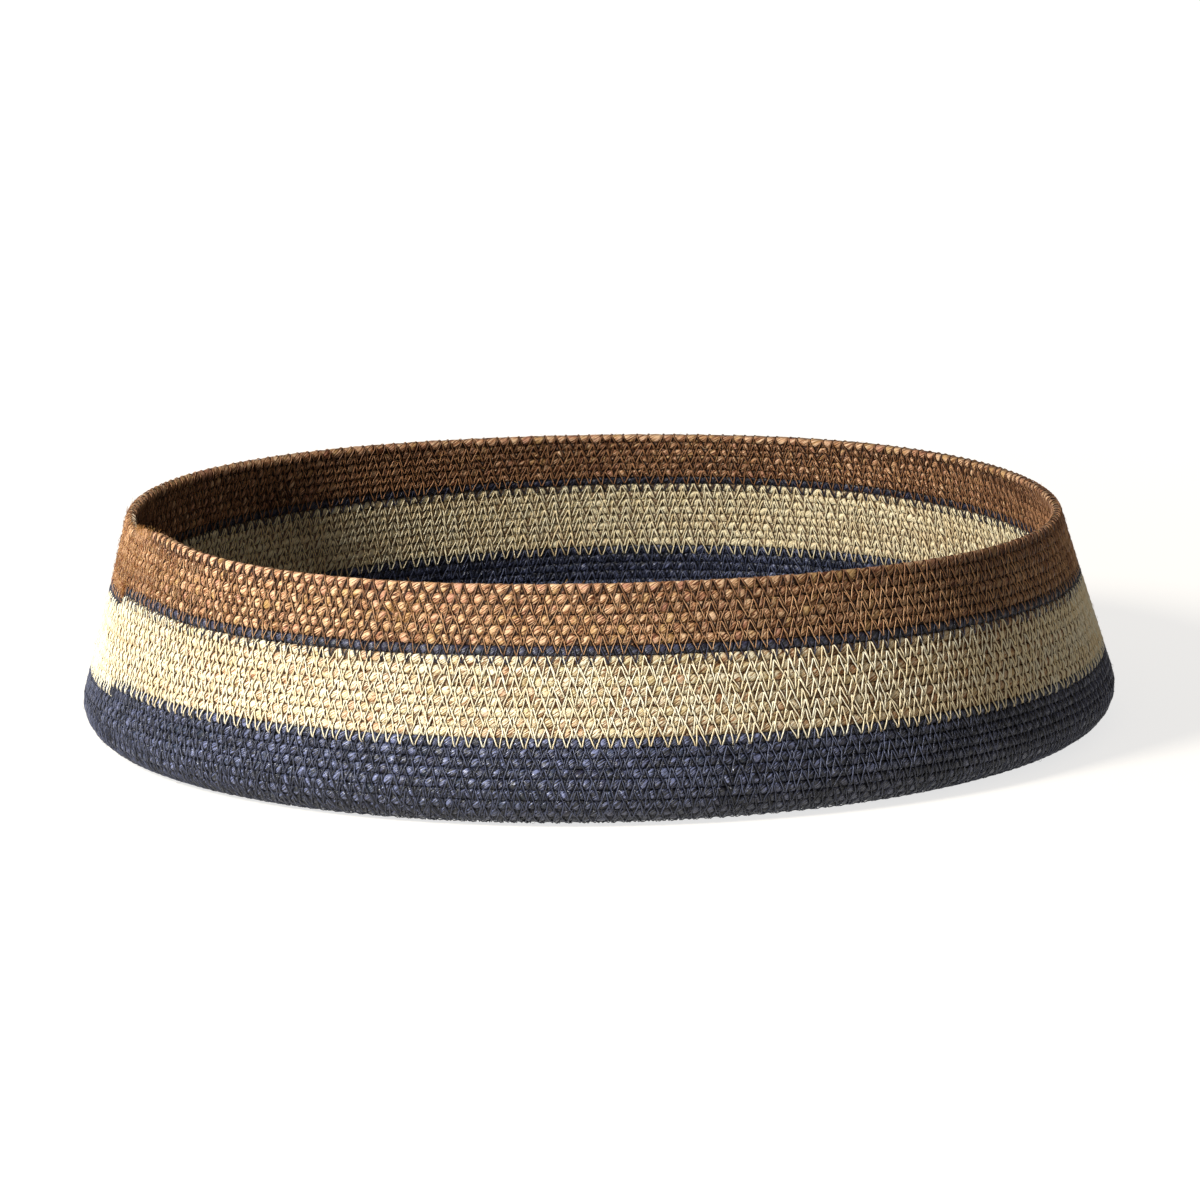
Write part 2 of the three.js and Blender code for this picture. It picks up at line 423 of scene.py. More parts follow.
def make_rope(name, first, last, angles, rings_per_stitch, material, seed, strips):
    """A rope of two twisted strands, with a groove under each leg of the stitches."""
    overlap = 0 if last == COIL_END else END_OVERLAP
    from_stitch, to_stitch = stitch_at(first), stitch_at(last + overlap)
    count = int(round((to_stitch - from_stitch) * rings_per_stitch))
    stitch = np.linspace(from_stitch, to_stitch, count + 1)
    turns = turns_at(stitch)
    length = length_at(turns)
    taper, sink = rope_taper(turns, first)
    flat = np.zeros((len(turns), len(angles)))
    column, angle = turns[:, None] + flat, angles[None, :] + flat
    along, sewn = length[:, None] + flat, stitch[:, None] + flat
    twist = angle + 2 * math.pi * along / LAY_LENGTH
    lobes = 1 - PLY_DEPTH * (1 - np.abs(np.cos(twist)))
    rough = value_noise(along / ROUGH_LENGTH, angle * 2.4, seed) - 0.5
    slow = value_noise(along / SLOW_LENGTH, flat + 7, seed) - 0.5
    radius = section(angle) * lobes * (1 + ROUGH_HEIGHT * rough + SLOW_HEIGHT * slow)
    rise = radius * np.sin(angle)
    own, own_count = legs_near(sewn, rise)
    sewn_above = stitch_at(np.minimum(column + 1, COIL_END))
    above, above_count = legs_near(sewn_above, rise - PITCH)
    has_above = column + 1 < COIL_END
    above = np.where(has_above, above, FAR_AWAY)
    above_count = np.where(has_above, above_count, 0)
    leg = np.minimum(own, above)
    near = np.exp(-((leg / GROOVE_WIDTH) ** 2))
    # The rope shows as beads between the legs, each with its own height, tone and hue
    bead = (own_count * 31 + above_count * 57) % BEAD_KINDS
    bead_tone, bead_hue = np.random.default_rng(seed + 5).random((2, BEAD_KINDS))
    facing = np.sqrt(np.abs(np.cos(angle)))
    radius = radius * (1 + BEAD_HEIGHT * facing * (bead_tone[bead] - 0.5))
    radius = radius - GROOVE_DEPTH * near * facing
    radius = radius * taper[:, None]
    rings = place(column, radius * np.sin(angle) - sink[:, None], radius * np.cos(angle))
    strand = np.sign(np.cos(twist)) * 0.5 + 0.5
    tone = 0.6 * bead_tone[bead] + 0.4 * value_noise(sewn * 1.3, strand * 9, seed + 1)
    hue = 0.55 * bead_hue[bead] + 0.45 * value_noise(sewn * 0.4, strand * 5, seed + 2)
    # Painted shade in the seams, where the rope's section turns to the rows above and below, in
    # patches
    seam_patch = 0.0016
    patchy = 0.35 + 0.65 * value_noise(along / seam_patch, flat + 3, seed + 3)
    seam = np.abs(np.sin(angle)) ** 6 * patchy
    tint = np.stack([tone, hue, seam, flat + 1], axis=-1)
    own_sewing = np.stack([*sewing_at(sewn, rise), np.cos(angle)], axis=-1)
    beside, above_share = sewing_at(sewn_above, rise - PITCH)
    above_share = np.where(has_above, above_share, NO_SEWING)
    above_sewing = np.stack([beside, above_share, flat], axis=-1)
    lay = (length, angles * ROPE_RADIUS, ROPE_GIRTH)
    return tube_mesh(name, rings, lay, tint, material, strips, (own_sewing, above_sewing))


def make_middle(name, steps, material):
    """The rope's start, bent under itself, which closes the middle of the base."""
    end = 0.985
    along = np.linspace(-end, end, steps + 1)[:, None] + np.zeros(len(BASE_ANGLES))
    angle = BASE_ANGLES[None, :] + np.zeros(along.shape)
    width = MIDDLE_RADIUS * np.sqrt(1 - along ** 2)
    lump = 0.9 + 0.2 * value_noise(along * 4, angle * 2.4, SEED + 6)
    middle_height = place(np.array([COIL_START]), 0.0, 0.0)[0, 2]
    across = width * lump * np.sin(angle)
    height = middle_height - MIDDLE_FLATNESS * width * lump * np.cos(angle)
    rings = np.stack([MIDDLE_RADIUS * along, across, height], axis=-1)
    flat = np.zeros(along.shape)
    tone = value_noise(along * 5, angle * 2, SEED + 7)
    tint = np.stack([tone, 1 - tone, flat, flat + 1], axis=-1)
    unsewn = np.stack([flat, flat + NO_SEWING, np.cos(angle)], axis=-1)
    lay = (MIDDLE_RADIUS * along[:, 0], BASE_ANGLES * ROPE_RADIUS, ROPE_GIRTH)
    return tube_mesh(name, rings, lay, tint, material, 1, (unsewn, unsewn))


def thread_offset(rise, tip):
    """How far out of the wall a thread's middle lies, over its own row and the row below."""
    surface = np.maximum(surface_over(rise), surface_over(rise + PITCH))
    between = (rise < BETWEEN_ROWS[1]) & (rise > BETWEEN_ROWS[0])
    surface = np.where(between, np.maximum(surface, BETWEEN_ROWS_OFFSET), surface)
    on_lower_row = np.clip((-rise - LOWER_ROW_FROM) / LOWER_ROW_BLEND, 0, 1)
    lying = surface + THREAD_LIFT + THREAD_LIFT * on_lower_row
    return np.where(tip, np.minimum(surface, TIP_OFFSET), lying)


def around_lines(points, outward, radius, sides):
    """Rings of points round lines, each ring square to its line."""
    ahead = np.gradient(points, axis=-2)
    ahead = ahead / np.linalg.norm(ahead, axis=-1, keepdims=True)
    across = np.cross(ahead, outward)
    across = across / np.linalg.norm(across, axis=-1, keepdims=True)
    up = np.cross(across, ahead)
    first_turn = 0.4
    turn = 2 * math.pi * np.arange(sides) / sides + first_turn
    cosine, sine = np.cos(turn)[:, None], np.sin(turn)[:, None]
    reach = cosine * up[..., None, :] + sine * across[..., None, :]
    return points[..., None, :] + radius * reach


def make_thread(name, tips, side, radius, sides, material, seed, strips, rim=False):
    """A thread that zigzags through the tips, outside the wall (+1) or inside it (-1)."""
    tip_stitch, tip_rise, tip_down = tips
    shares, runs = (RIM_LEG_SHARES, RIM_LEG_RUNS) if rim else (LEG_SHARES, LEG_RUNS)
    down = tip_down[:-1, None]
    share = np.where(down, shares, np.concatenate([[0], 1 - shares[:0:-1]]))
    run = np.where(down, runs, np.concatenate([[0], 1 - runs[:0:-1]]))
    stitch = tip_stitch[:-1, None] * (1 - run) + tip_stitch[1:, None] * run
    rise = tip_rise[:-1, None] * (1 - share) + tip_rise[1:, None] * share
    at_tip = np.broadcast_to(np.arange(len(shares)) == 0, rise.shape)
    offset = thread_offset(rise, at_tip & (rise < ROPE_RADIUS))
    if rim:
        offset = np.where(rise > RIM_FROM, RIM_OFFSET, offset)
    slack = value_noise(stitch * SLACK_RATE, rise * 0 + 3, seed) * SLACK
    thickness = end_taper(turns_at(stitch))[0]
    on_own_row = 1 - np.clip((-rise - LOWER_ROW_FROM) / OWN_ROW_BLEND, 0, 1)
    offset = offset * (1 - on_own_row * (1 - thickness))
    offset = (offset + slack * (1 - at_tip)).ravel()
    turns, rise = turns_at(stitch).ravel(), rise.ravel()
    points = place(turns, rise, side * offset)
    outward = place(turns, rise, side * (offset + OUTWARD_STEP)) - points
    rings = around_lines(points, outward, radius, sides)
    lengths = np.linalg.norm(np.diff(points, axis=0), axis=1)
    travelled = np.concatenate([[0], np.cumsum(lengths)])
    order = np.arange(len(tip_stitch) - 1)
    tone_rate, wear_rate = 0.7, 0.05
    tone = np.repeat(value_noise(order * tone_rate, order * 0.0, seed + 1), len(shares))
    wear = np.repeat(value_noise(order * wear_rate, order * 0.0 + 5, seed + 2), len(shares))
    tint = np.stack([tone, wear, 0 * tone, 0 * tone + 1], axis=-1)
    tint = np.repeat(tint[:, None, :], sides, axis=1)
    around = 2 * math.pi * np.arange(sides) / sides * radius
    lay = (travelled, around, 2 * math.pi * radius)
    return tube_mesh(name, rings, lay, tint, material, strips)


def tips_between(first, last):
    """The zigzag's tips between two places on the spiral, and whether each leads down."""
    margin = 0.3
    start = int(math.ceil(2 * stitch_at(first) + margin))
    end = int(math.floor(2 * stitch_at(last) - margin))
    tips = np.arange(start, end + 1)
    return TIP_STITCH[tips], TIP_RISE[tips], tips % 2 == 0


def make_fibres(name, turns, rise, offset, length, spread, radius, side, material, seed):
    """Stray fibres that leave the rope's surface at the given places, mostly along the rope."""
    random = np.random.default_rng(seed)
    count, stops, sides = len(turns), 5, 3
    root_depth, lean = 0.0001, 0.3
    reach = length * random.uniform(0.5, 1.4, count)
    heading = random.normal(0, spread, count) + np.where(random.random(count) < 0.5, 0, math.pi)
    lift = random.uniform(0.05, 0.55, count) * reach
    bend = random.normal(0, 0.5, count)
    share = np.linspace(0, 1, stops)[None, :]
    turning = heading[:, None] + bend[:, None] * share
    circle = 2 * math.pi * profile(BASE_WRAP + PITCH * (turns + 0.5))[0][:, None]
    at_turns = turns[:, None] + reach[:, None] * share * np.cos(turning) / circle
    at_rise = rise[:, None] + reach[:, None] * share * np.sin(turning)
    curve = np.sin(share * math.pi * random.uniform(0.5, 1.0, count)[:, None])
    at_offset = offset[:, None] - root_depth + lift[:, None] * curve
    points = place(at_turns, at_rise, side * at_offset)
    outward = place(at_turns, at_rise, side * (at_offset + OUTWARD_STEP)) - points
    ahead = np.gradient(points, axis=-2)
    outward = outward + lean * np.roll(ahead, 1, axis=-1)
    rings = around_lines(points, outward, radius, sides)
    index = np.arange(count * stops * sides).reshape(count, stops, sides)
    turned = np.roll(index, -1, axis=2)
    quads = np.stack([index[:, :-1], turned[:, :-1], turned[:, 1:], index[:, 1:]], axis=-1)
    caps = np.concatenate([index[:, 0], index[:, -1, ::-1]])
    mesh = new_mesh(name, rings.reshape(-1, 3), quads.reshape(-1, 4), caps, material)
    spot = np.empty(len(mesh.loops), np.int32)
    mesh.loops.foreach_get("vertex_index", spot)
    hair = spot // (stops * sides)
    step = spot // sides % stops
    hair_apart, step_apart, side_apart = 0.01, 0.001, 0.0001
    add_map(mesh, "Lay", hair * hair_apart + step * step_apart, side_apart * (spot % sides))
    margin, filled = 0.01, 0.98
    bake_u, bake_v = margin + filled * hair / count, margin + filled * step / stops
    add_map(mesh, "OFBake", bake_u, bake_v)
    tone = np.repeat(random.random(count), stops * sides)
    wear = np.repeat(random.random(count), stops * sides)
    return finish_piece(mesh, np.stack([tone, wear, 0 * tone, 0 * tone + 1], axis=-1))


class Shader:
    """A node tree with short calls for its nodes and links."""

    def __init__(self, owner, output="OutputMaterial"):
        owner.use_nodes = True
        self.owner = owner
        self.tree = owner.node_tree
        self.tree.nodes.clear()
        self.output = self.tree.nodes.new("ShaderNode" + output)

    def add(self, kind, values=None, **settings):
        node = self.tree.nodes.new("ShaderNode" + kind)
        for key, value in settings.items():
            setattr(node, key, value)
        for key, value in (values or {}).items():
            self.put(node.inputs[key], value)
        return node

    def put(self, socket, value):
        if isinstance(value, bpy.types.NodeSocket):
            self.tree.links.new(value, socket)
        else:
            socket.default_value = value

    def maths(self, operation, *values):
        return self.add("Math", dict(enumerate(values)), operation=operation).outputs[0]

    def blend(self, first, second, share):
        """The two values mixed, with the given share of the second."""
        first = self.maths("MULTIPLY", first, 1 - share)
        return self.maths("ADD", first, self.maths("MULTIPLY", second, share))

    def mix(self, share, first, second):
        """The two colours mixed, with the given share of the second."""
        node = self.add("Mix", data_type="RGBA")
        share_socket, first_socket, second_socket, colour_output = 0, 6, 7, 2
        self.put(node.inputs[share_socket], share)
        self.put(node.inputs[first_socket], first)
        self.put(node.inputs[second_socket], second)
        return node.outputs[colour_output]

    def spread(self, value, low, high, to_low=0.0, to_high=1.0):
        """The value carried from the range low to high into the range to_low to to_high."""
        values = {"Value": value, "From Min": low, "From Max": high}
        values.update({"To Min": to_low, "To Max": to_high})
        return self.add("MapRange", values).outputs[0]

    def ramp(self, value, *stops):
        """The value as a colour between the given stops, each a position and a colour."""
        node = self.add("ValToRGB", {"Fac": value})
        elements = node.color_ramp.elements
        elements[0].position, elements[0].color = stops[0]
        elements[1].position, elements[1].color = stops[-1]
        for position, shade in stops[1:-1]:
            elements.new(position).color = shade
        return node.outputs[0]

    def places(self, name):
        values = self.add("Attribute", attribute_name=name).outputs["Vector"]
        return self.add("SeparateXYZ", {0: values}).outputs

    def leg_distance(self, name, tips):
        """Distance to the nearest leg of the zigzag whose places the named attribute holds,
        positive outside the corners at its upper tips (1) or its lower tips (-1)."""
        places = self.places(name)
        swing = self.maths("PINGPONG", places["X"], 0.5)
        apart = self.maths("SUBTRACT", self.maths("MULTIPLY", swing, 2.0), places["Y"])
        return self.maths("MULTIPLY", apart, tips * LEG_SLANT * STITCH_LENGTH)

    def darkened_by(self, distance):
        """The distance as the shade beside a leg sees it: further outside a corner."""
        outside = self.maths("MULTIPLY", distance, SHADE_OUTSIDE)
        return self.maths("MAXIMUM", outside, self.maths("MULTIPLY", distance, -SHADE_INSIDE))

    def tint(self):
        attribute = self.add("Attribute", attribute_name="tint")
        return self.add("SeparateColor", {"Color": attribute.outputs[0]}).outputs


def colour(red, green, blue):
    """A colour written as it shows on a screen, from 0 to 255."""
    def plain(value):
        value = value / 255
        return value / 12.92 if value <= 0.04045 else ((value + 0.055) / 1.055) ** 2.4
    return (plain(red), plain(green), plain(blue), 1.0)


def rope_material(
    name, deep, plain, light, accents, gap, inner, right, roughness, shine, shadow,
):
    """Plant-fibre rope: streaks along the lay, beads of differing colour, painted shade in the
    seams between rows and, as strong as shadow says, in fine lines beside the stitches, in the
    colour gap.
    Inner is the tone that the inner side tends to, and how far: painted light where it is paler
    than the rope, painted shade where darker. Right is the same for painted shade on the outside
    towards +X."""
    shader = Shader(bpy.data.materials.new(name))
    lay = shader.add("UVMap", uv_map="Lay").outputs[0]
    lay_angle = math.atan2(ROPE_GIRTH, LAY_LENGTH)
    turned = shader.add("Mapping", {"Vector": lay, "Rotation": (0, 0, lay_angle)}).outputs[0]

    def streaks(along, across, detail):
        """Noise drawn out along the lay, of so many cells a metre along and across it."""
        scaled = shader.add("Mapping", {"Vector": turned, "Scale": (along, across, 1)})
        values = {"Vector": scaled.outputs[0], "Scale": 1.0, "Detail": detail}
        return shader.add("TexNoise", values).outputs[0]

    bundles = streaks(130, 1900, 0.0)
    fibres = streaks(260, 4300, 1.0)
    strands = streaks(80, 900, 0.0)
    bead, hue, seam = shader.tint()[:3]
    streak = shader.spread(shader.blend(bundles, fibres, 0.3), 0.36, 0.62)
    tone = shader.blend(streak, bead, 0.36)
    shades = shader.ramp(tone, (0.2, deep), (0.46, plain), (0.74, light))
    patch = shader.blend(hue, strands, 0.45)
    accent_share, deep_share, seam_shade_share = 0.62, 0.7, 0.85
    at_high = shader.spread(patch, 0.56, 0.74, 0.0, accent_share)
    shades = shader.mix(at_high, shades, accents[0])
    at_low = shader.spread(patch, 0.42, 0.26, 0.0, accent_share)
    shades = shader.mix(at_low, shades, accents[1])
    between_streaks = shader.spread(streak, 0.32, 0.0, 0.0, deep_share)
    shades = shader.mix(between_streaks, shades, deep)
    # The inner side drawn towards inner's tone: painted light where it is paler, painted shade
    # where darker
    outward = shader.places("own stitches")["Z"]
    inside = shader.spread(outward, 0.3, -0.3, 0.0, inner[1])
    outside = shader.spread(outward, -0.3, 0.3)
    shades = shader.mix(inside, shades, inner[0])
    # Painted shade on the rope's outside, growing towards +X
    spot = shader.add("TexCoord").outputs["Object"]
    across = shader.add("SeparateXYZ", {0: spot}).outputs["X"]
    full_from = 0.16
    painted_shade_right = shader.spread(across, 0.0, full_from, 0.0, right[1])
    painted_shade_right = shader.maths("MULTIPLY", painted_shade_right, outside)
    shades = shader.mix(painted_shade_right, shades, right[0])
    # Painted shade in lines beside the legs of the stitches and in the seams, in the gap colour
    own = shader.leg_distance("own stitches", 1)
    above = shader.leg_distance("stitches above", -1)
    distances = [shader.maths("ABSOLUTE", distance) for distance in (own, above)]
    leg = shader.maths("MINIMUM", *distances)
    shade = shader.maths("MINIMUM", shader.darkened_by(own), shader.darkened_by(above))
    wide = shader.spread(strands, 0.3, 0.7, 0.75 * SHADE_WIDTH, 1.25 * SHADE_WIDTH)
    beside = shader.spread(shader.maths("DIVIDE", shade, wide), 0.75, 1.3, shadow, 0.0)
    dark = shader.maths("MAXIMUM", shader.maths("MULTIPLY", seam, seam_shade_share), beside)
    shaded = shader.mix(dark, shades, gap)
    dent_bottom, dent_edge, dent_depth = 0.0002, 0.0009, 0.55
    dent = shader.spread(leg, dent_bottom, dent_edge, -dent_depth, 0.0)
    height = shader.maths("ADD", shader.blend(bundles, fibres, 0.35), dent)
    bumped = shader.add("Bump", {"Strength": 0.9, "Distance": 0.0006, "Height": height})
    surface = shader.add("BsdfPrincipled", {
        "Base Color": shaded,
        "Roughness": shader.spread(streak, 0.0, 1.0, roughness + 0.14, roughness - 0.12),
        "Normal": bumped.outputs[0],
        "Specular IOR Level": shine,
    })
    shader.put(shader.output.inputs[0], surface.outputs[0])
    return shader.owner


def thread_material(name, plain, light, dark, roughness, shine):
    """Twisted sewing thread: a fine diagonal twist, and some stitches darker than others."""
    shader = Shader(bpy.data.materials.new(name))
    lay = shader.add("UVMap", uv_map="Lay").outputs[0]
    twist_angle, cells_a_metre = -0.6, (700, 3200, 1)
    turned = shader.add("Mapping", {"Vector": lay, "Rotation": (0, 0, twist_angle)}).outputs[0]
    scaled = shader.add("Mapping", {"Vector": turned, "Scale": cells_a_metre}).outputs[0]
    twist = shader.add("TexNoise", {"Vector": scaled, "Scale": 1.0, "Detail": 1.0}).outputs[0]
    stitch, wear = shader.tint()[:2]
    tone = shader.blend(twist, stitch, 0.45)
    mixed = shader.mix(shader.spread(tone, 0.3, 0.7), plain, light)
    worn = shader.mix(shader.spread(wear, 0.5, 1.0, 0.0, 0.6), mixed, dark)
    bumped = shader.add("Bump", {"Strength": 0.3, "Distance": 0.0002, "Height": twist})
    surface = shader.add("BsdfPrincipled", {
        "Base Color": worn,
        "Roughness": shader.spread(twist, 0.3, 0.7, roughness + 0.08, roughness - 0.08),
        "Normal": bumped.outputs[0],
        "Specular IOR Level": shine,
    })
    shader.put(shader.output.inputs[0], surface.outputs[0])
    return shader.owner


# In the ropes below, gap is the painted shade's colour and right is painted shade towards +X
# inner is painted light on the navy and natural ropes' inner side, painted shade on the others'
navy_rope = rope_material(
    "navy rope",
    # The navy's light stop is partly paler fibres and partly painted glints on its beads
    deep=colour(4, 5, 12), plain=colour(16, 19, 35), light=colour(132, 140, 178),
    accents=(colour(16, 38, 56), colour(36, 31, 56)), gap=colour(3, 3, 7),
    inner=(colour(26, 28, 44), 0.4), right=(colour(10, 12, 22), 0.3),
    roughness=0.34, shine=0.62, shadow=0.85,
)
natural_rope = rope_material(
    "natural rope",
    deep=colour(120, 74, 40), plain=colour(241, 217, 168), light=colour(255, 251, 224),
    accents=(colour(214, 154, 114), colour(228, 210, 146)), gap=colour(88, 57, 31),
    inner=(colour(255, 242, 198), 0.6), right=(colour(140, 94, 54), 0.5),
    roughness=0.6, shine=0.4, shadow=0.9,
)
stripe_rope = rope_material(
    "stripe rope",
    deep=colour(8, 8, 14), plain=colour(24, 24, 36), light=colour(84, 86, 112),
    accents=(colour(42, 38, 66), colour(22, 38, 50)), gap=colour(3, 3, 7),
    inner=(colour(20, 20, 30), 0.5), right=(colour(14, 14, 22), 0.3),
    roughness=0.38, shine=0.6, shadow=0.9,
)
brown_rope = rope_material(
    "brown rope",
    deep=colour(80, 40, 18), plain=colour(202, 144, 100), light=colour(252, 214, 170),
    accents=(colour(208, 144, 122), colour(210, 172, 102)), gap=colour(36, 16, 7),
    inner=(colour(140, 88, 56), 0.2), right=(colour(64, 34, 18), 0.66),
    roughness=0.58, shine=0.3, shadow=0.97,
)
navy_thread = thread_material(
    "navy thread", colour(32, 36, 52), colour(96, 102, 128), colour(15, 16, 28),
    roughness=0.4, shine=0.5,
)
natural_thread = thread_material(
    "natural thread", colour(254, 238, 198), colour(255, 251, 228), colour(238, 212, 158),
    roughness=0.55, shine=0.4,
)
inner_thread = thread_material(
    "inner natural thread", colour(246, 226, 180), colour(255, 244, 208), colour(218, 186, 136),
    roughness=0.6, shine=0.35,
)
stripe_thread = thread_material(
    "stripe thread", colour(22, 22, 36), colour(58, 60, 82), colour(12, 12, 22),
    roughness=0.45, shine=0.5,
)
brown_thread = thread_material(
    "brown thread", colour(150, 102, 64), colour(222, 176, 130), colour(84, 50, 28),
    roughness=0.5, shine=0.45,
)
inner_brown_thread = thread_material(
    "inner brown thread", colour(140, 94, 60), colour(192, 142, 100), colour(84, 50, 30),
    roughness=0.55, shine=0.4,
)
rim_thread = thread_material(
    "rim thread", colour(104, 66, 40), colour(164, 118, 80), colour(64, 36, 20),
    roughness=0.5, shine=0.45,
)
pale_thread = thread_material(
    "pale thread", colour(196, 172, 140), colour(232, 212, 184), colour(140, 108, 78),
    roughness=0.5, shine=0.4,
)
straw = thread_material(
    "straw fibre", colour(178, 114, 54), colour(238, 192, 120), colour(104, 56, 24),
    roughness=0.6, shine=0.4,
)
russet = thread_material(
    "russet fibre", colour(104, 54, 24), colour(168, 100, 50), colour(58, 28, 12),
    roughness=0.6, shine=0.4,
)

# Ropes: the base's coil with its middle, then the wall's, each with its first and last turn,
# its material, its seed, the strips of its baked map, its slot and the solid that it replaces
rope = make_rope(
    "base_coil_rope", COIL_START, 0.0, BASE_ANGLES, BASE_RINGS_PER_STITCH, navy_rope, 101, 64,
)
dress(rope, "navy_rope", "base_coil")
dress(make_middle("base_middle_knot", 24, navy_rope), "navy_rope")
WALL_ROPES = (
    ("navy_wall_coil", 0.0, NAVY_END, navy_rope, 111, 36, "navy_rope", "navy_wall_rope"),
    ("natural_wall_coil", NAVY_END, NATURAL_END, natural_rope, 121, 32, "natural_rope",
     "natural_wall_rope"),
    ("stripe_wall_coil", NATURAL_END, STRIPE_END, stripe_rope, 131, 10, "stripe_rope",
     "navy_stripe_rope"),
    ("brown_wall_coil", STRIPE_END, COIL_END, brown_rope, 141, 28, "brown_rope",
     "brown_rim_rope"),
)
for name, first, last, material, seed, strips, slot, node in WALL_ROPES:
    rope = make_rope(name, first, last, WALL_ANGLES, RINGS_PER_STITCH, material, seed, strips)
    dress(rope, slot, node)

# Threads, outside and inside each band: its first and last turn, the thread's radius outside
# and inside, its material, its slot and the strips of its baked map
RIM_START = COIL_END - 0.965
THREADS = (
    ("navy_base", COIL_START + 0.4, 0.0, 0.00026, 0.00026, navy_thread, "navy_thread", 120),
    ("navy", 0.0, NAVY_END, 0.00024, 0.00026, navy_thread, "navy_thread", 120),
    ("natural", NAVY_END, NATURAL_END, 0.00031, 0.0003, natural_thread, "natural_thread", 110),
    ("stripe", NATURAL_END, STRIPE_END, 0.00027, 0.00027, stripe_thread, "navy_thread", 40),
    ("brown", STRIPE_END, COIL_END - 1, 0.0002, 0.00025, brown_thread, "brown_thread", 90),
    ("rim", RIM_START, COIL_END - 0.012, 0.00026, 0.00028, rim_thread, "brown_thread", 40),
    ("low_rim", COIL_END - 1, RIM_START, 0.00032, 0.00032, pale_thread, "brown_thread", 3),
)
REPLACED = {
    "natural_outer_thread": "natural_seam_thread",
    "stripe_outer_thread": "stripe_seam_thread",
    "brown_outer_thread": "brown_seam_thread",
}
OTHER_MATERIAL = {
    "natural_inner_thread": inner_thread,
    "brown_inner_thread": inner_brown_thread,
    "low_rim_outer_thread": brown_thread,
}
for order, (band, first, last, outer, inner, material, slot, strips) in enumerate(THREADS):
    for side, place_name, radius in ((1, "outer", outer), (-1, "inner", inner)):
        name = f"{band}_{place_name}_thread"
        sides = 3 if band == "navy_base" else 4
        seed = 200 + 10 * order + side
        thread = make_thread(
            name, tips_between(first, last), side, radius, sides,
            OTHER_MATERIAL.get(name, material), seed, strips, "rim" in band,
        )
        dress(thread, slot, *([REPLACED[name]] if name in REPLACED else []))


def make_back_tack(name, count, material):
    """The short stitches, sewn over one another, that hold the rope's end."""
    random = np.random.default_rng(SEED + 3)
    from_end, step, step_jitter = 0.5, 0.21, 0.05
    low_rise, radius, sides, seed, strips = -0.0046, 0.00026, 4, 291, 2
    stitch = stitch_at(COIL_END) - from_end - step * np.arange(count)
    stitch = stitch + step_jitter * random.normal(size=count)
    down = np.arange(count) % 2 == 0
    thickness, sink = end_taper(turns_at(stitch))
    rise = np.where(down, RIM_TIP * thickness - sink, low_rise)
    rise = rise + RISE_JITTER * random.normal(size=count)
    tips = (stitch, rise, down)
    return make_thread(name, tips, 1, radius, sides, material, seed, strips)


dress(make_back_tack("back_tack_thread", 23, brown_thread), "brown_thread")


def scatter(first, last, count, seed, gathered=None):
    """Random places on the rows from first to last, on the rope's outer half. If gathered is
    given, it is the azimuth about which they lie, and how widely."""
    random = np.random.default_rng(seed)
    turns = random.uniform(first, last, count)
    if gathered:
        middle, width = gathered
        turn = (SEAM - middle - width * random.normal(size=count)) / (2 * math.pi)
        turns = np.floor(turns - turn) + turn % 1 + np.floor(turn)
        turns = np.clip(turns, first, last)
    low_angle, high_angle = -1.2, 1.35
    angle = random.uniform(low_angle, high_angle, count)
    return turns, ROPE_RADIUS * np.sin(angle), ROPE_RADIUS * np.cos(angle)


def scatter_at_end(count):
    """Random places on and over the rope's tapered end."""
    spread, reach, low_angle, high_angle = 0.014, 0.9, -1.2, 2.4
    turns = COIL_END - np.abs(np.random.default_rng(SEED + 4).normal(0, spread, count))
    angle = np.random.default_rng(SEED + 5).uniform(low_angle, high_angle, count)
    thickness, sink = end_taper(turns)
    rise = ROPE_RADIUS * reach * thickness * np.sin(angle) - sink
    return turns, rise, ROPE_RADIUS * reach * thickness * np.cos(angle)


# Stray fibres: where they leave the rope, their length, how far they turn from its direction,
# their radius, their side of the wall, their material and their slot
LEFT_SIDE = (math.radians(196), math.radians(14))
WORN_SPOT = (math.radians(247), math.radians(2.2))
FIBRES = (
    ("left_fuzz", scatter(STRIPE_END, COIL_END - 0.03, 2300, 305, LEFT_SIDE), 0.0021, 0.7,
     0.00005, 1, straw, "brown_thread"),
    ("left_russet_fuzz", scatter(STRIPE_END, COIL_END - 0.03, 2200, 307, LEFT_SIDE), 0.0023, 0.7,
     0.00007, 1, russet, "brown_thread"),
    ("worn_spot_fuzz", scatter(20.1, 22.6, 320, 306, WORN_SPOT), 0.002, 0.9, 0.00005, 1, straw,
     "brown_thread"),
    ("rope_end_fibres", scatter_at_end(520), 0.0019, 0.6, 0.00006, 1, straw,
     "brown_thread"),
    ("brown_fibres", scatter(STRIPE_END, COIL_END - 0.05, 1500, 301), 0.0022, 0.5, 0.00005, 1,
     straw, "brown_thread"),
    ("brown_inner_fibres", scatter(STRIPE_END, COIL_END - 0.05, 700, 302), 0.0022, 0.5, 0.00005,
     -1, straw, "brown_thread"),
    ("natural_fibres", scatter(NAVY_END, NATURAL_END, 1500, 303), 0.0026, 0.5, 0.00006, 1,
     natural_thread, "natural_thread"),
    ("navy_fibres", scatter(0.5, NAVY_END, 1200, 304), 0.0024, 0.5, 0.00006, 1, navy_thread,
     "navy_thread"),
)
for order, (name, spots, length, spread, radius, side, material, slot) in enumerate(FIBRES):
    fibres = make_fibres(name, *spots, length, spread, radius, side, material, 320 + order)
    dress(fibres, slot)


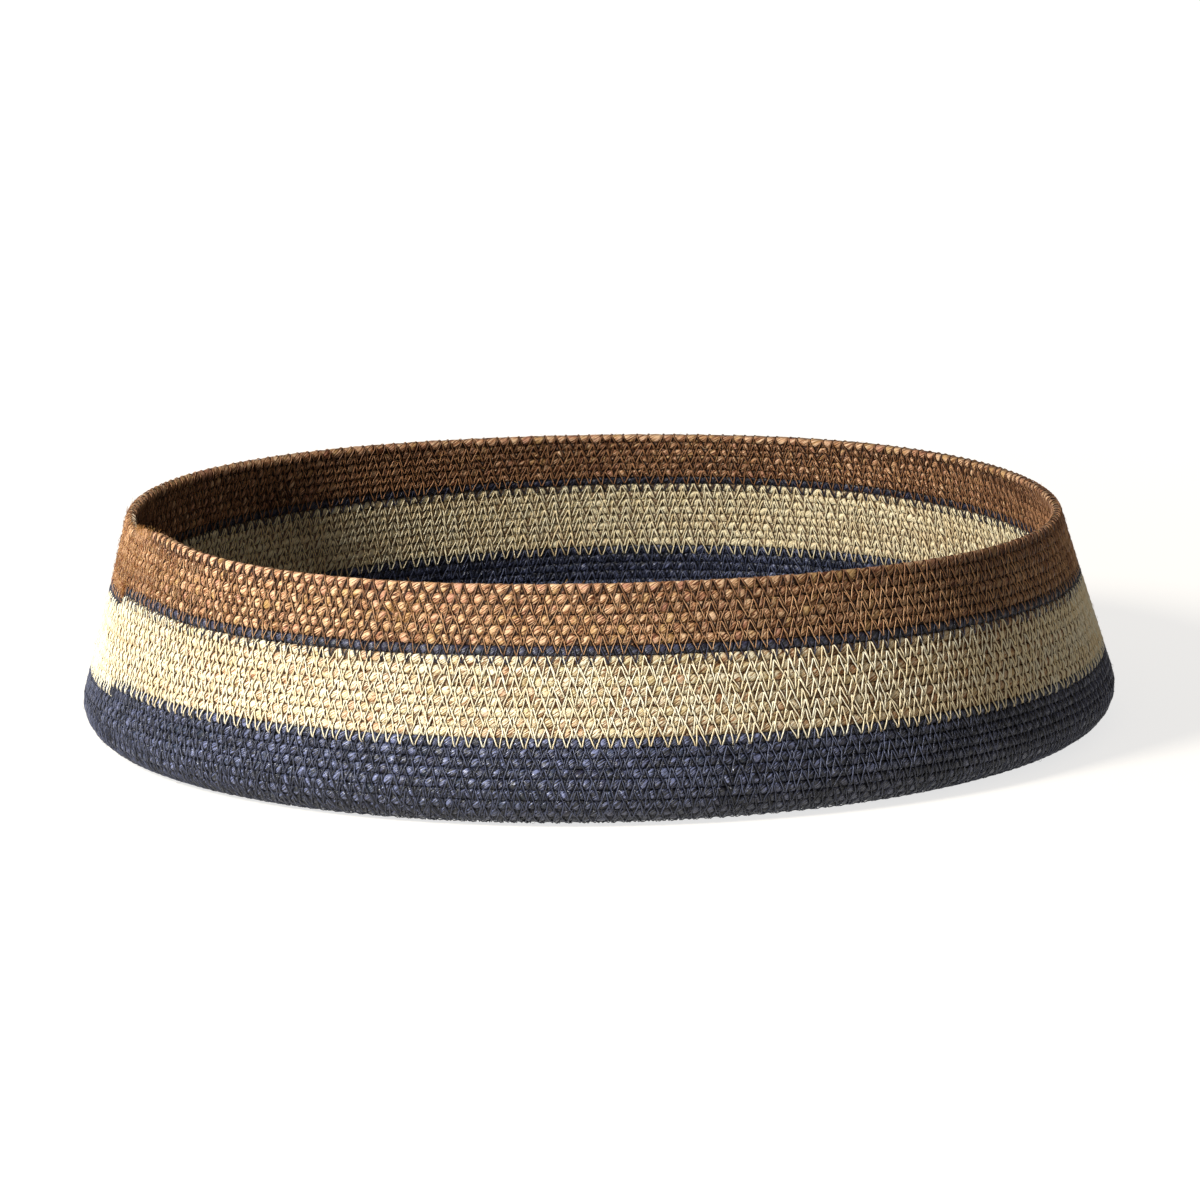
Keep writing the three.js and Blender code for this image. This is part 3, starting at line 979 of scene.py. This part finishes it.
# Floor, light and camera
def stage_floor(lowest):
    """A pale floor that shows white far off and keeps a light shadow round the basket."""
    shader = Shader(bpy.data.materials.new("floor"))
    path = shader.add("LightPath").outputs
    seen = shader.maths("MAXIMUM", path["Is Camera Ray"], path["Is Glossy Ray"])
    seen = shader.maths("MAXIMUM", seen, path["Is Transmission Ray"])
    spot = shader.add("NewGeometry").outputs["Position"]
    away = shader.add("VectorMath", {0: spot}, operation="LENGTH").outputs["Value"]
    near, far, near_level, far_level = 0.4, 1.6, 0.74, 1.0
    glowing = shader.spread(away, near, far, near_level, far_level)
    strength = shader.maths("MULTIPLY", seen, glowing)
    pale = shader.add("BsdfDiffuse", {"Color": (0.38, 0.35, 0.30, 1)})
    glow = shader.add("Emission", {"Color": (1, 1, 1, 1), "Strength": strength})
    both = shader.add("AddShader")
    shader.put(both.inputs[0], pale.outputs[0])
    shader.put(both.inputs[1], glow.outputs[0])
    shader.put(shader.output.inputs[0], both.outputs[0])
    mesh = bpy.data.meshes.new("floor")
    reach = 30.0
    signs = ((-1, -1), (1, -1), (1, 1), (-1, 1))
    corners = [(x * reach, y * reach, lowest) for x, y in signs]
    mesh.from_pydata(corners, [], [(0, 1, 2, 3)])
    mesh.materials.append(shader.owner)
    floor = bpy.data.objects.new("floor", mesh)
    bpy.context.scene.collection.objects.link(floor)


def light_world(strength, dimmed):
    """Even studio light, weaker low down on the right."""
    world = bpy.data.worlds.new("studio")
    bpy.context.scene.world = world
    shader = Shader(world, "OutputWorld")
    towards = shader.add("TexCoord").outputs["Generated"]
    split = shader.add("SeparateXYZ", {0: towards}).outputs
    right = shader.spread(split["X"], -0.2, 0.7)
    low = shader.spread(split["Z"], 0.8, 0.1)
    share = shader.maths("MULTIPLY", right, low)
    share = shader.maths("MULTIPLY", share, dimmed)
    level = shader.maths("MULTIPLY", shader.maths("SUBTRACT", 1.0, share), strength)
    seen = shader.add("LightPath").outputs["Is Camera Ray"]
    pale, warm = (1.0, 0.96, 0.91, 1), (1.0, 0.74, 0.52, 1)
    tone = shader.mix(share, pale, warm)
    plain = shader.add("Background", {"Color": tone, "Strength": level})
    white = shader.add("Background", {"Color": (1, 1, 1, 1), "Strength": 1.0})
    mixed = shader.add("MixShader", {0: seen, 1: plain.outputs[0], 2: white.outputs[0]})
    shader.put(shader.output.inputs[0], mixed.outputs[0])


def area_light(name, azimuth, elevation, distance, size, irradiance, tone):
    """A soft lamp aimed at the basket. An irradiance of 1 shows a facing colour as written."""
    aim = Vector((0, 0, 0.05))
    lamp = bpy.data.lights.new(name, "AREA")
    lamp.shape = "DISK"
    lamp.size = size
    lamp.energy = irradiance * math.pi * math.pi * distance ** 2
    lamp.color = tone
    holder = bpy.data.objects.new(name, lamp)
    flat = distance * math.cos(elevation)
    height = distance * math.sin(elevation)
    spot = Vector((flat * math.cos(azimuth), flat * math.sin(azimuth), height))
    holder.location = spot + aim
    holder.rotation_euler = (-spot).to_track_quat("-Z", "Y").to_euler()
    bpy.context.scene.collection.objects.link(holder)


def photo_camera():
    """The photograph's viewpoint, found from the basket's outline and bands."""
    distance, down, roll, focal = 2.47658, 0.18584, -0.01801, 5658.07
    aside, aim_height = 0.00091, 0.05094
    picture_side = 1201
    sensor = 36.0
    right = Vector((1, 0, 0))
    up = Vector((0, math.sin(down), math.cos(down)))
    forward = Vector((0, math.cos(down), -math.sin(down)))
    turned_right = right * math.cos(roll) + up * math.sin(roll)
    turned_up = up * math.cos(roll) - right * math.sin(roll)
    spot = Vector((aside, 0, aim_height)) - forward * distance
    data = bpy.data.cameras.new("camera")
    data.sensor_width = sensor
    data.lens = sensor * focal / picture_side
    data.clip_start = 0.05
    data.clip_end = 100
    camera = bpy.data.objects.new("camera", data)
    axes = Matrix((turned_right, turned_up, -forward)).transposed()
    camera.matrix_world = Matrix.Translation(spot) @ axes.to_4x4()
    bpy.context.scene.collection.objects.link(camera)
    bpy.context.scene.camera = camera


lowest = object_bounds()[0][2]
stage_floor(lowest)
light_world(strength=0.3, dimmed=0.87)
area_light(
    "key", azimuth=math.radians(220), elevation=math.radians(33), distance=2.4, size=0.6,
    irradiance=1.4, tone=(1.0, 0.985, 0.96),
)
photo_camera()
bpy.context.scene.view_settings.view_transform = "Standard"
